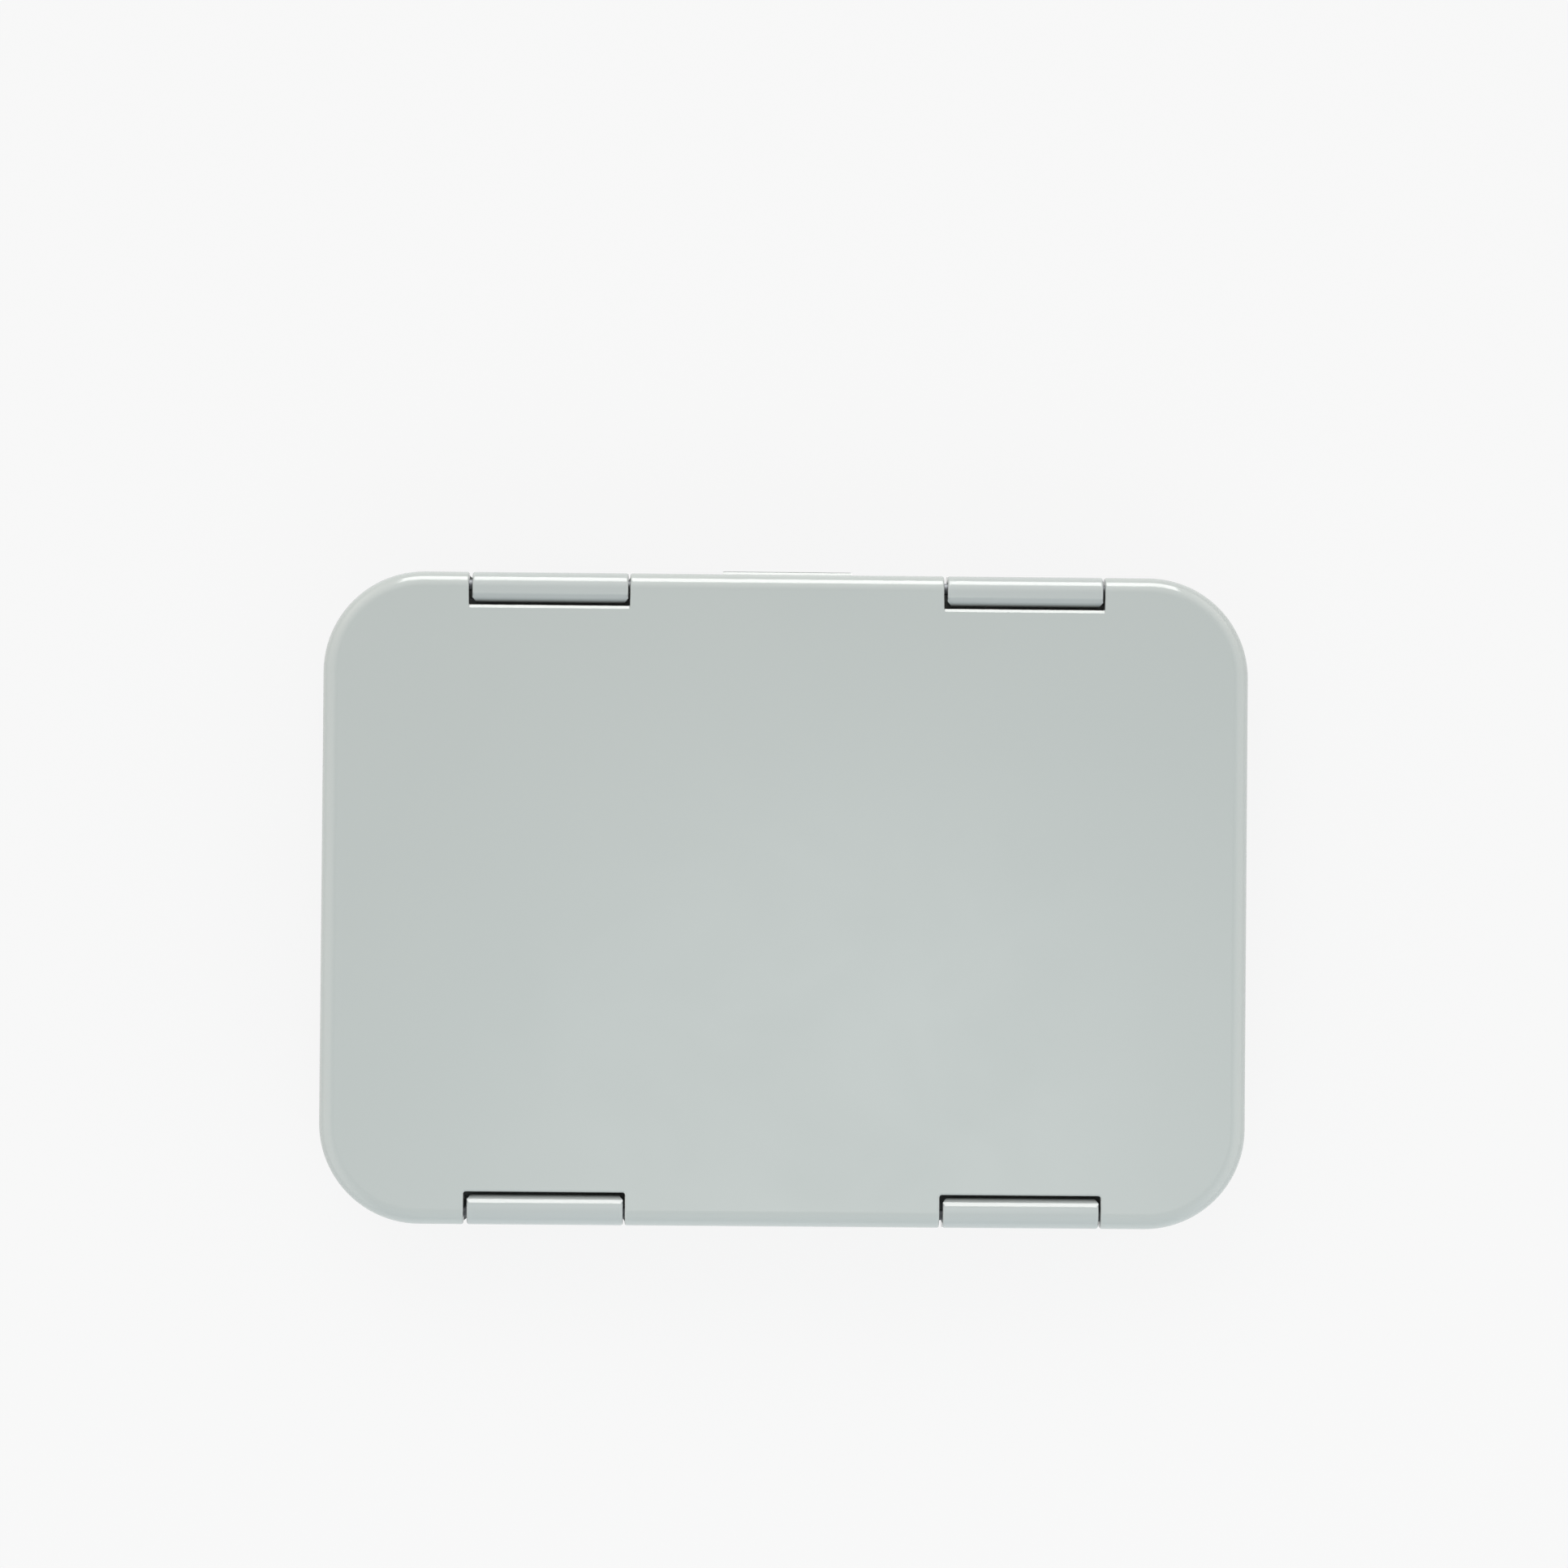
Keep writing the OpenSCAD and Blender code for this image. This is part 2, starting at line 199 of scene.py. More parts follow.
def merge_flat(piece):
    """Joins the faces that lie in one plane."""
    pick_up(piece)
    bpy.ops.object.mode_set(mode="EDIT")
    bpy.ops.mesh.select_all(action="SELECT")
    bpy.ops.mesh.dissolve_limited(angle_limit=math.radians(0.5))
    bpy.ops.object.mode_set(mode="OBJECT")


def carve(piece, tool, how="DIFFERENCE"):
    """Cuts a tool shape out of a piece, or joins it on, and uses the tool up."""
    pick_up(piece)
    cut = piece.modifiers.new("carve", "BOOLEAN")
    cut.object, cut.operation, cut.solver = tool, how, "EXACT"
    bpy.ops.object.modifier_apply(modifier=cut.name)
    bpy.data.objects.remove(tool, do_unlink=True)


def finish_shape(piece, angle=32):
    """Closes doubled points, turns the faces outwards and shades the piece."""
    pick_up(piece)
    bpy.ops.object.mode_set(mode="EDIT")
    bpy.ops.mesh.select_all(action="SELECT")
    bpy.ops.mesh.remove_doubles(threshold=0.000002)
    bpy.ops.mesh.normals_make_consistent(inside=False)
    bpy.ops.object.mode_set(mode="OBJECT")
    bpy.ops.object.shade_smooth_by_angle(angle=math.radians(angle))
    even = piece.modifiers.new("even", "WEIGHTED_NORMAL")
    even.keep_sharp, even.weight = True, 100
    bpy.ops.object.modifier_apply(modifier=even.name)


def near(a, b, gap=0.02):
    """True if two lengths in millimetres are the same."""
    return abs(a - b) < gap


def ends(edge):
    """Both ends of an edge in millimetres."""
    return [v.co / MM for v in edge.verts]


def upright(edge):
    """True if an edge stands along Z."""
    a, b = ends(edge)
    return near(a.x, b.x) and near(a.y, b.y) and not near(a.z, b.z)


def across(edge):
    """True if an edge lies in one plane across X."""
    a, b = ends(edge)
    return near(a.x, b.x)


def level_at(height):
    """A test for edges that lie at one height."""
    return lambda edge: all(near(p.z, height) for p in ends(edge))


def is_sharp(edge, degrees=28):
    """True if the two faces at an edge meet at more than an angle."""
    return len(edge.link_faces) == 2 and edge.calc_face_angle(0) > math.radians(degrees)


def slab(name, w, d, r, z0, z1, top_r=0, low_r=0, steps=INNER_STEPS, edge_steps=6):
    """A block with rounded corners, and a rounded upper or lower edge."""
    piece = block(name, (-w / 2, -d / 2, z0), (w / 2, d / 2, z1))
    round_edges(piece, upright, r, steps)
    if top_r:
        round_edges(piece, level_at(z1), top_r, edge_steps)
    if low_r:
        round_edges(piece, level_at(z0), low_r, edge_steps)
    return piece


def outline_gap(point, w, d, r):
    """How far a point lies from a rounded rectangle's outline, in millimetres."""
    x, y = max(abs(point.x) - w / 2 + r, 0), max(abs(point.y) - d / 2 + r, 0)
    return abs(math.hypot(x, y) - r)


def at_spot(side, hand, low, high):
    """A box drawn at the rear for X = 0, as corners at one of the four clips."""
    xs = sorted(hand * CLIP_X + v for v in (low[0], high[0]))
    ys = sorted(side * v for v in (low[1], high[1]))
    return (xs[0], ys[0], low[2]), (xs[1], ys[1], high[2])


# ---------------------------------------------------------------- lid


def on_lid_skin(point):
    """True if a point beside a notch lies on the outside of the lid."""
    y, z = abs(point.y), point.z
    edge = CASE_D / 2 - LID_EDGE_R
    if y <= edge + 0.01:
        return near(z, CASE_H)
    if z >= CASE_H - LID_EDGE_R - 0.01:
        return near(math.hypot(y - edge, z - CASE_H + LID_EDGE_R), LID_EDGE_R, 0.05)
    if z >= LID_Z + SKIRT_EDGE_R - 0.01:
        return near(y, CASE_D / 2)
    return near(math.hypot(y - CASE_D / 2 + SKIRT_EDGE_R, z - LID_Z - SKIRT_EDGE_R),
                SKIRT_EDGE_R, 0.05) and y > CASE_D / 2 - SKIRT_EDGE_R


def in_notch(point, grow=0.05):
    """True if a point lies in the space of a notch, its walls included."""
    return (abs(abs(point.x) - CLIP_X) < NOTCH_W / 2 + grow
            and abs(point.y) > CASE_D / 2 - NOTCH_D - grow)


def beside_notch(point):
    """True if a point lies on one of the two sides of a notch, clear of its corners."""
    return (near(abs(abs(point.x) - CLIP_X), NOTCH_W / 2)
            and abs(point.y) > CASE_D / 2 - NOTCH_D + 0.3)


def flare_top(notch, inner):
    """Leans the top of a front notch's tool back, so that it cuts a chamfer."""
    slice_at(notch, 2, CASE_H - FLARE_DROP)
    slide_edges(notch, lambda e: all(near(p.z, CASE_H + PAST) and p.y > inner - 1
                                     for p in ends(e)),
                (0, FLARE_RUN / FLARE_DROP * (PAST + FLARE_DROP), 0))


def make_lid():
    """The lid's shell, solid round the four notches, which are then cut through it."""
    lid = slab("lid_moulding", CASE_W, CASE_D, CORNER_R, LID_Z, CASE_H,
               LID_EDGE_R, 0, CASE_STEPS, 10)
    round_edges(lid, level_at(LID_Z), SKIRT_EDGE_R, 4)
    hollow = slab("lid_hollow", CASE_W - 2 * WALL, CASE_D - 2 * WALL, CORNER_R - WALL,
                  LID_Z - 4, CASE_H - WALL, LID_EDGE_R - WALL, 0, CASE_STEPS, 5)
    half = NOTCH_W / 2 + EAR_T
    back = CASE_D / 2 - NOTCH_D - NOTCH_WALL
    for side, hand in SPOTS:
        carve(hollow, block("ears", *at_spot(
            side, hand, (-half, back, LID_Z + SKIRT_EDGE_R), (half, CASE_D, CASE_H + 4))))
    carve(lid, hollow)
    for side, hand in SPOTS:
        notch = block("notch", *at_spot(
            side, hand, (-NOTCH_W / 2, CASE_D / 2 - NOTCH_D, LID_Z - PAST),
            (NOTCH_W / 2, CASE_D / 2 + PAST, CASE_H + PAST)))
        inner = side * (CASE_D / 2 - NOTCH_D)
        round_edges(notch, lambda e: upright(e) and near(ends(e)[0].y, inner),
                    NOTCH_CORNER_R[side], 4)
        if side < 0:
            flare_top(notch, inner)
        carve(lid, notch)
    round_edges(lid, lambda e: is_sharp(e) and all(
        in_notch(p) and on_lid_skin(p) and (p.y > 0 or beside_notch(p))
        for p in ends(e)), NOTCH_EDGE_R, 4)
    for side, hand in SPOTS:
        carve(lid, rod("pin_hole", PIN_R + 0.01, hand * CLIP_X - half, hand * CLIP_X + half,
                       side * PIN_Y, PIN_Z))
    finish_shape(lid)
    return lid


def make_lift_lip():
    """The lip that the lid is lifted by: a slope with a fine rim along its outer end."""
    front = CASE_D / 2
    lip = block("lift_lip", (-LIP_HALF, -front - LIP_OUT, LIP_LOW),
                (LIP_HALF, -front + 1, LIP_HIGH))
    slice_at(lip, 1, -front - LIP_SLOPE_OUT)
    slice_at(lip, 1, -front)
    slide_edges(lip, lambda e: all(p.y < -front - 0.5 and near(p.z, LIP_HIGH)
                                   for p in ends(e)), (0, 0, -LIP_SLOPE_DROP))
    round_edges(lip, lambda e: upright(e) and near(ends(e)[0].y, -front - LIP_OUT), 0.5, 5)
    round_edges(lip, lambda e: is_sharp(e, 60) and all(
        near(p.z, LIP_LOW) and p.y < -front - 0.01 for p in ends(e)), 0.3, 3)
    finish_shape(lip)
    return lip


def make_stakes():
    """The stakes that hold the liner, each with its spread head."""
    first = None
    run_x, run_y = WELL_W - 24, WELL_D / 2 - 12
    stem_r, head_r, head_t = 1.5, 2.5, 0.8
    for side in (-1, 1):
        for i in range(4):
            x, y = -run_x / 2 + i * run_x / 3, side * run_y
            pick_up(None)
            bpy.ops.mesh.primitive_cone_add(
                vertices=40, radius1=stem_r * MM, radius2=head_r * MM, depth=head_t * MM,
                location=(x * MM, y * MM, (LINER_LOW - head_t / 2) * MM))
            head = just_made("stake")
            keep_place(head)
            round_edges(head, level_at(LINER_LOW - head_t), 0.25, 3)
            stem = post("stem", stem_r, x, y, LINER_LOW - 0.2, CASE_H - 1, 40)
            carve(head, stem, "UNION")
            if first is None:
                first = head
                continue
            pick_up(first)
            head.select_set(True)
            bpy.ops.object.join()
    first.name = first.data.name = "liner_stakes"
    finish_shape(first)
    return first


def make_liner():
    """The inner plate, with the outer and the inner rib of the seal's channel."""
    wide, deep, corner = (SEAL_W_MID + CHANNEL_W, SEAL_D_MID + CHANNEL_W,
                          SEAL_R_MID + CHANNEL_W / 2)
    liner = slab("lid_liner_plate", wide + 2 * RIB_T, deep + 2 * RIB_T, corner + RIB_T,
                 RIB_LOW, LINER_TOP, 0, 0.4, INNER_STEPS, 2)
    carve(liner, slab("channel", wide, deep, corner, RIB_LOW - 2, LINER_LOW,
                      0.3, 0, INNER_STEPS, 2))
    rib_w, rib_d, rib_r = (SEAL_W_MID - CHANNEL_W, SEAL_D_MID - CHANNEL_W,
                           SEAL_R_MID - CHANNEL_W / 2)
    rib = slab("rib", rib_w, rib_d, rib_r, RIB_LOW, LINER_LOW + 0.5, 0, 0.4, INNER_STEPS, 2)
    carve(rib, slab("inside", rib_w - 2 * RIB_T, rib_d - 2 * RIB_T, rib_r - RIB_T,
                    RIB_LOW - 2, LINER_LOW, 0.3, 0, INNER_STEPS, 2))
    carve(liner, rib, "UNION")
    finish_shape(liner)
    return liner


def make_seal():
    """A ring of soft rubber, round along both of its lower edges."""
    edge_r = 1.1
    seal = slab("lid_seal_ring", SEAL_W_MID + SEAL_W, SEAL_D_MID + SEAL_W,
                SEAL_R_MID + SEAL_W / 2, SEAL_LOW, LINER_LOW, 0, edge_r, INNER_STEPS, 5)
    hole = slab("seal_hole", SEAL_W_MID - SEAL_W, SEAL_D_MID - SEAL_W,
                SEAL_R_MID - SEAL_W / 2, SEAL_LOW - 3, LINER_LOW + 3)
    carve(seal, hole)
    inner_w = SEAL_W_MID / 2 - SEAL_W / 2
    inner_d = SEAL_D_MID / 2 - SEAL_W / 2
    round_edges(seal, lambda e: is_sharp(e, 40) and all(
        near(p.z, SEAL_LOW) and abs(p.x) < inner_w + 0.05 and abs(p.y) < inner_d + 0.05
        for p in ends(e)), edge_r, 5)
    finish_shape(seal)
    return seal


# ---------------------------------------------------------------- clips and pins


def on_clip_skin(point, half):
    """True if a point on a clip's end lies on the side of it that is seen from outside."""
    y, z = point.y, point.z
    return near(abs(point.x), half) and (
        near(y, CASE_D / 2) or near(z, CASE_H) or near(y, CLIP_IN_Y)
        or (z > CASE_H - LID_EDGE_R and near(
            math.hypot(y - CASE_D / 2 + LID_EDGE_R, z - CASE_H + LID_EDGE_R), LID_EDGE_R, 0.04))
        or (z > CASE_H - 2.9 and y < CLIP_IN_Y + CLIP_SLOPE_D + 0.4))


def make_clip():
    """A clip drawn for the rear at X = 0: head, arm, hook and the round boss for its pin."""
    half, out = CLIP_W / 2, CASE_D / 2
    head_low = PIN_Z - BOSS_R / 2
    clip = block("clip", (-half, CLIP_IN_Y, head_low), (half, out, CASE_H))

    def soften(y, z, radius, steps):
        round_edges(clip, lambda e: all(near(p.y, y) and near(p.z, z) for p in ends(e)),
                    radius, steps)

    soften(out, CASE_H, LID_EDGE_R, 10)
    slice_at(clip, 1, CLIP_IN_Y + CLIP_SLOPE_D)
    drop = CLIP_SLOPE_D * math.tan(math.radians(CLIP_SLOPE))
    slide_edges(clip, lambda e: all(near(p.y, CLIP_IN_Y) and near(p.z, CASE_H)
                                    for p in ends(e)), (0, 0, -drop))
    soften(CLIP_IN_Y, CASE_H - drop, CLIP_INNER_R * math.tan(
        math.radians(45 - CLIP_SLOPE / 2)), 8)
    soften(CLIP_IN_Y + CLIP_SLOPE_D, CASE_H, 0.2, 3)
    slice_at(clip, 1, ARM_IN_Y)
    pull_faces(clip, lambda f: f.normal.z < -0.9 and f.calc_center_median().y / MM > ARM_IN_Y,
               (0, 0, CLIP_TIP - head_low))
    soften(out, CLIP_TIP, 1.3, 6)
    soften(ARM_IN_Y, CLIP_TIP, 0.9, 5)
    slice_at(clip, 2, HOOK_TOP)
    slice_at(clip, 2, HOOK_LOW)
    pull_faces(clip, lambda f: f.normal.y < -0.9
               and HOOK_LOW < f.calc_center_median().z / MM < HOOK_TOP,
               (0, HOOK_IN_Y - ARM_IN_Y, 0))
    slide_edges(clip, lambda e: all(near(p.y, HOOK_IN_Y) and near(p.z, HOOK_LOW)
                                    for p in ends(e)), (0, 0, ARM_IN_Y - HOOK_IN_Y))
    soften(HOOK_IN_Y, HOOK_TOP, 0.3, 3)
    merge_flat(clip)
    slice_at(clip, 2, LID_Z)
    for vertex in clip.data.vertices:
        below = max(0, LID_Z - vertex.co.z / MM)
        vertex.co.x -= math.copysign(below * DRAFT * MM, vertex.co.x)
    for hand in (-1, 1):
        corner = block("corner", (-2, -1.6, head_low - 2), (0, 1.6, CASE_H + 2))
        corner.rotation_euler = (0, 0, math.radians(140 if hand > 0 else 40))
        corner.location = (hand * (half - CLIP_CORNER_IN) * MM, (CLIP_IN_Y + 0.6) * MM, 0)
        keep_place(corner)
        carve(clip, corner)
    round_edges(clip, lambda e: across(e) and all(on_clip_skin(p, half) for p in ends(e)),
                CLIP_END_R, 4)
    carve(clip, rod("boss", BOSS_R, -half + 0.8, half - 0.8, PIN_Y, PIN_Z, 72), "UNION")
    carve(clip, rod("bore", BORE_R, -half - 1, half + 1, PIN_Y, PIN_Z, 48))
    finish_shape(clip)
    return clip


def copy_to_spot(piece, name, side, hand, play=0):
    """A copy with a mesh of its own, turned round for the front and set at its place."""
    copy = piece.copy()
    copy.data = piece.data.copy()
    copy.name = copy.data.name = name
    bpy.context.collection.objects.link(copy)
    copy.location = ((hand * CLIP_X - play) * MM, 0, 0)
    copy.rotation_euler = (0, 0, 0 if side > 0 else math.pi)
    keep_place(copy)
    return copy


def make_pin():
    """A steel pin drawn for the rear at X = 0, with rounded ends."""
    half = NOTCH_W / 2 + EAR_T - 0.2
    pin = rod("pin", PIN_R, -half, half, PIN_Y, PIN_Z, 48)
    round_edges(pin, lambda e: across(e) and all(near(abs(p.x), half) for p in ends(e)),
                0.3, 3)
    finish_shape(pin)
    return pin


# ---------------------------------------------------------------- base, tray and contents


def on_base_skin(point):
    """True if a point beside a pocket lies on the outside of the base's wall."""
    y, z = abs(point.y), point.z
    out = CASE_D / 2 - BASE_IN
    if z >= BASE_BOTTOM + BASE_EDGE_R - 0.01:
        return near(y, out)
    return near(math.hypot(y - out + BASE_EDGE_R, z - BASE_BOTTOM - BASE_EDGE_R),
                BASE_EDGE_R, 0.06)


def make_base():
    """The lower shell with its rim step, and a pocket and a catch for each clip."""
    w, d, r = CASE_W - 2 * BASE_IN, CASE_D - 2 * BASE_IN, CORNER_R - BASE_IN
    base = slab("base_moulding", w, d, r, BASE_BOTTOM, BASE_TOP, 0, BASE_EDGE_R,
                CASE_STEPS, 10)
    cavity = slab("cavity", w - 2 * WALL, d - 2 * WALL, r - WALL, BASE_FLOOR, BASE_TOP + 4,
                  0, BASE_EDGE_R - WALL, CASE_STEPS, 6)
    step = slab("rim_step", w - 2, d - 2, r - 1, BASE_TOP - DECK_T, BASE_TOP + 3,
                0, 0, CASE_STEPS)
    back = CASE_D / 2 - POCKET_D
    half = NOTCH_W / 2 + POCKET_WALL
    for side, hand in SPOTS:
        low, high = at_spot(side, hand, (-half, back - POCKET_WALL, 0),
                            (half, CASE_D, CASE_H + 8))
        carve(cavity, block("pocket_walls", low, high))
        carve(step, block("pocket_walls", low, high))
    carve(base, cavity)
    carve(base, step)
    for side, hand in SPOTS:
        carve(base, make_pocket(side, hand, back))
    round_edges(base, lambda e: is_sharp(e) and all(
        abs(abs(p.x) - CLIP_X) < NOTCH_W / 2 + 0.05 and abs(p.y) > 72
        and on_base_skin(p) for p in ends(e)), 0.2, 2)
    round_edges(base, lambda e: is_sharp(e) and all(near(p.z, BASE_TOP) for p in ends(e))
                and all(abs(p.x) > w / 2 - 0.05 - r or abs(p.y) > d / 2 - 0.05
                        for p in ends(e))
                and all(outline_gap(p, w, d, r) < 0.05 for p in ends(e)), 0.35, 3)
    round_edges(base, lambda e: is_sharp(e) and all(
        near(p.z, BASE_TOP) and abs(abs(p.x) - CLIP_X) < NOTCH_W / 2 - 0.9
        and back - POCKET_WALL - 0.1 < abs(p.y) < back + 0.1 for p in ends(e)), 0.8, 4)
    root = 0.6
    for side, hand in SPOTS:
        catch = block("catch", *at_spot(
            side, hand, (-NOTCH_W / 2 - root, back - root, CATCH_Z0),
            (NOTCH_W / 2 + root, CATCH_Y, CATCH_Z1)))
        round_edges(catch, lambda e: all(near(abs(p.y), CATCH_Y) for p in ends(e))
                    and near(ends(e)[0].z, ends(e)[1].z), 0.5, 3)
        carve(base, catch, "UNION")
    for side, hand in SPOTS:
        carve(base, post("foot_seat", FOOT_SEAT_R, hand * FOOT_X, side * FOOT_Y, -2, 2))
    finish_shape(base)
    return base


def make_pocket(side, hand, back):
    """The tool for one clip's pocket, with leaning sides and rounds inside."""
    pocket = block("pocket", *at_spot(side, hand, (-NOTCH_W / 2, back, BASE_FLOOR),
                                      (NOTCH_W / 2, CASE_D / 2 + PAST, LID_Z)))
    lean = DRAFT * (LID_Z - BASE_FLOOR)
    for way in (-1, 1):
        slide_edges(pocket, lambda e: all(
            near(p.z, BASE_FLOOR) and near(p.x, hand * CLIP_X + way * NOTCH_W / 2)
            for p in ends(e)), (-way * lean, 0, 0))
    round_edges(pocket, lambda e: all(near(p.y, side * back) for p in ends(e))
                and not near(ends(e)[0].z, ends(e)[1].z), 1, 4)
    round_edges(pocket, lambda e: all(near(p.z, BASE_FLOOR) for p in ends(e))
                and not all(near(p.y, side * (CASE_D / 2 + PAST)) for p in ends(e)), 0.8, 4)
    return pocket


def make_tray():
    """The water tray: a deck, the tub under it, and a sealing lip round the well."""
    tray = slab("tray_moulding", DECK_W, DECK_D, DECK_R, BASE_TOP - DECK_T, BASE_TOP,
                0, 0, CASE_STEPS)
    half = NOTCH_W / 2 + POCKET_WALL + 0.4
    back = CASE_D / 2 - POCKET_D - POCKET_WALL - 0.4
    for side, hand in SPOTS:
        gap = block("pocket_gap", *at_spot(side, hand, (-half, back, 10),
                                           (half, CASE_D, CASE_H + 8)))
        round_edges(gap, lambda e: upright(e) and near(ends(e)[0].y, side * back), 1, 4)
        carve(tray, gap)
    carve(tray, slab("tub", WELL_W + 2 * DECK_T, WELL_D + 2 * DECK_T, WELL_R + DECK_T,
                     TRAY_FLOOR - DECK_T, BASE_TOP - 0.5, 0, 1 + DECK_T, INNER_STEPS, 5),
          "UNION")
    lip_w, lip_d, edge_r = SEAL_W_MID + SEAT_W, SEAL_D_MID + SEAT_W, 0.45
    carve(tray, slab("sealing_lip", lip_w, lip_d, SEAL_R_MID + SEAT_W / 2,
                     BASE_TOP - 1, SEAT_TOP, edge_r, 0, INNER_STEPS, 4), "UNION")
    inside = lip_w - 2 * SEAT_W, lip_d - 2 * SEAT_W, SEAL_R_MID - SEAT_W / 2
    carve(tray, slab("lip_inside", *inside, BASE_TOP, SEAT_TOP + 2))
    well = WELL_W, WELL_D, WELL_R
    carve(tray, slab("well", *well, TRAY_FLOOR, SEAT_TOP + 4, 0, 1, INNER_STEPS, 4))
    round_edges(tray, lambda e: is_sharp(e) and all(
        near(p.z, BASE_TOP) and outline_gap(p, *well) < 0.05 for p in ends(e)), 0.6, 4)
    round_edges(tray, lambda e: is_sharp(e) and all(
        near(p.z, SEAT_TOP) and outline_gap(p, *inside) < 0.05 for p in ends(e)), edge_r, 4)
    finish_shape(tray)
    return tray


def make_sponge():
    """Foam cut to size: soft edges, and a face that isn't quite flat."""
    sponge = slab("sponge_block", SPONGE_W, SPONGE_D, SPONGE_R, TRAY_FLOOR, SPONGE_TOP,
                  0.9, 0.9, 10, 3)
    cell = 6
    for axis, reach in ((0, SPONGE_W / 2), (1, SPONGE_D / 2)):
        place = -reach + cell
        while place < reach:
            slice_at(sponge, axis, place)
            place += cell
    slice_at(sponge, 2, TRAY_FLOOR + 3.3)
    slice_at(sponge, 2, TRAY_FLOOR + 6.6)
    for vertex in sponge.data.vertices:
        p = vertex.co / MM
        if p.z < TRAY_FLOOR + 1:
            continue
        drift = noise.noise(Vector((p.x * 0.035, p.y * 0.035, p.z * 0.1)))
        if p.z > SPONGE_TOP - 0.1:
            vertex.co.z -= (0.12 + 0.12 * drift) * MM
        else:
            pull = 0.25 + 0.2 * drift
            vertex.co.x -= math.copysign(pull * MM * (abs(p.x) > SPONGE_W / 2 - 3), p.x)
            vertex.co.y -= math.copysign(pull * MM * (abs(p.y) > SPONGE_D / 2 - 3), p.y)
    finish_shape(sponge, 60)
    return sponge


def make_paper():
    """A sheet that has taken up water: it lies close, with long waves and lifted corners."""
    pick_up(None)
    bpy.ops.mesh.primitive_grid_add(x_subdivisions=110, y_subdivisions=72, size=1)
    paper = just_made("palette_sheet")
    paper.scale = (PAPER_W * MM, PAPER_D * MM, 1)
    keep_place(paper)
    for vertex in paper.data.vertices:
        p = vertex.co / MM
        x, y = abs(p.x) - PAPER_W / 2 + PAPER_R, abs(p.y) - PAPER_D / 2 + PAPER_R
        if x > 0 and y > 0:
            reach = max(x, y) / math.hypot(x, y)
            vertex.co.x -= math.copysign(x * (1 - reach) * MM, p.x)
            vertex.co.y -= math.copysign(y * (1 - reach) * MM, p.y)
        wave = 0.5 + 0.5 * noise.noise(Vector((p.x * 0.03, p.y * 0.022, 3.1)))
        ripple = 0.5 + 0.5 * noise.noise(Vector((p.x * 0.11, p.y * 0.06, 7.7)))
        corner = (abs(p.x) / (PAPER_W / 2)) ** 6 * (abs(p.y) / (PAPER_D / 2)) ** 6
        vertex.co.z = (SPONGE_TOP + 0.02 + 0.22 * wave + 0.08 * ripple + 0.9 * corner) * MM
    pick_up(paper)
    thick = paper.modifiers.new("thick", "SOLIDIFY")
    thick.thickness, thick.offset = SHEET_T * MM, 1
    bpy.ops.object.modifier_apply(modifier=thick.name)
    finish_shape(paper, 50)
    return paper


def make_foot(side, hand):
    """A soft foot: a domed rim round a dished face."""
    x, y = hand * FOOT_X, side * FOOT_Y
    name = f"foot_pad_{SIDE_NAME[side]}_{HAND_NAME[hand]}"
    foot = post(name, FOOT_R, x, y, 0, 2, 56)
    choose(foot, "FACE", lambda f: f.normal.z < -0.9)
    bpy.ops.mesh.inset(thickness=1.6 * MM)
    bpy.ops.mesh.inset(thickness=0.5 * MM)
    bpy.ops.transform.translate(value=(0, 0, 0.3 * MM))
    bpy.ops.object.mode_set(mode="OBJECT")
    round_edges(foot, lambda e: all(
        near(p.z, 0) and near(math.hypot(p.x - x, p.y - y), FOOT_R, 0.05)
        for p in ends(e)), 0.5, 4)
    finish_shape(foot)
    return foot


# ---------------------------------------------------------------- finishes


def feed(tree, socket, source):
    """Links a socket to a source, or gives it a plain value."""
    if isinstance(source, bpy.types.NodeSocket):
        tree.links.new(source, socket)
    else:
        socket.default_value = source


def add(tree, kind, **values):
    """A node with its settings, and its inputs as links or plain values."""
    node = tree.nodes.new(kind)
    for key, value in values.items():
        if key.startswith("set_"):
            setattr(node, key[4:], value)
        else:
            feed(tree, node.inputs[key.replace("_", " ")], value)
    return node


def feed_in_turn(tree, node, sources, places=(0, 1, 2)):
    """Feeds a node's inputs by their places."""
    for place, source in zip(places, sources):
        feed(tree, node.inputs[place], source)


def maths(tree, how, *sources):
    """The result of a sum."""
    node = add(tree, "ShaderNodeMath", set_operation=how)
    feed_in_turn(tree, node, sources)
    return node.outputs[0]


def blend(tree, factor, a, b, how="MIX"):
    """A colour that goes from one to another with the factor."""
    node = add(tree, "ShaderNodeMix", set_data_type="RGBA", set_blend_type=how)
    feed_in_turn(tree, node, (factor, a, b), (0, 6, 7))
    return node.outputs[2]


def blend_values(tree, factor, a, b):
    """A value that goes from one to another with the factor."""
    node = add(tree, "ShaderNodeMix", set_data_type="FLOAT")
    feed_in_turn(tree, node, (factor, a, b), (0, 2, 3))
    return node.outputs[0]


def ramp(tree, source, from_low, from_high, low=0.0, high=1.0, how="LINEAR"):
    """A value that goes from low to high while its source crosses a span."""
    return add(tree, "ShaderNodeMapRange", set_interpolation_type=how, Value=source,
               From_Min=from_low, From_Max=from_high, To_Min=low,
               To_Max=high).outputs["Result"]


def new_group(name, inputs, outputs):
    """An empty node group, what comes into it and what goes out of it."""
    group = bpy.data.node_groups.new(name, "ShaderNodeTree")
    for label, kind in inputs:
        group.interface.new_socket(name=label, in_out="INPUT", socket_type=kind)
    for label, kind in outputs:
        group.interface.new_socket(name=label, in_out="OUTPUT", socket_type=kind)
    return (group, group.nodes.new("NodeGroupInput").outputs,
            group.nodes.new("NodeGroupOutput").inputs)


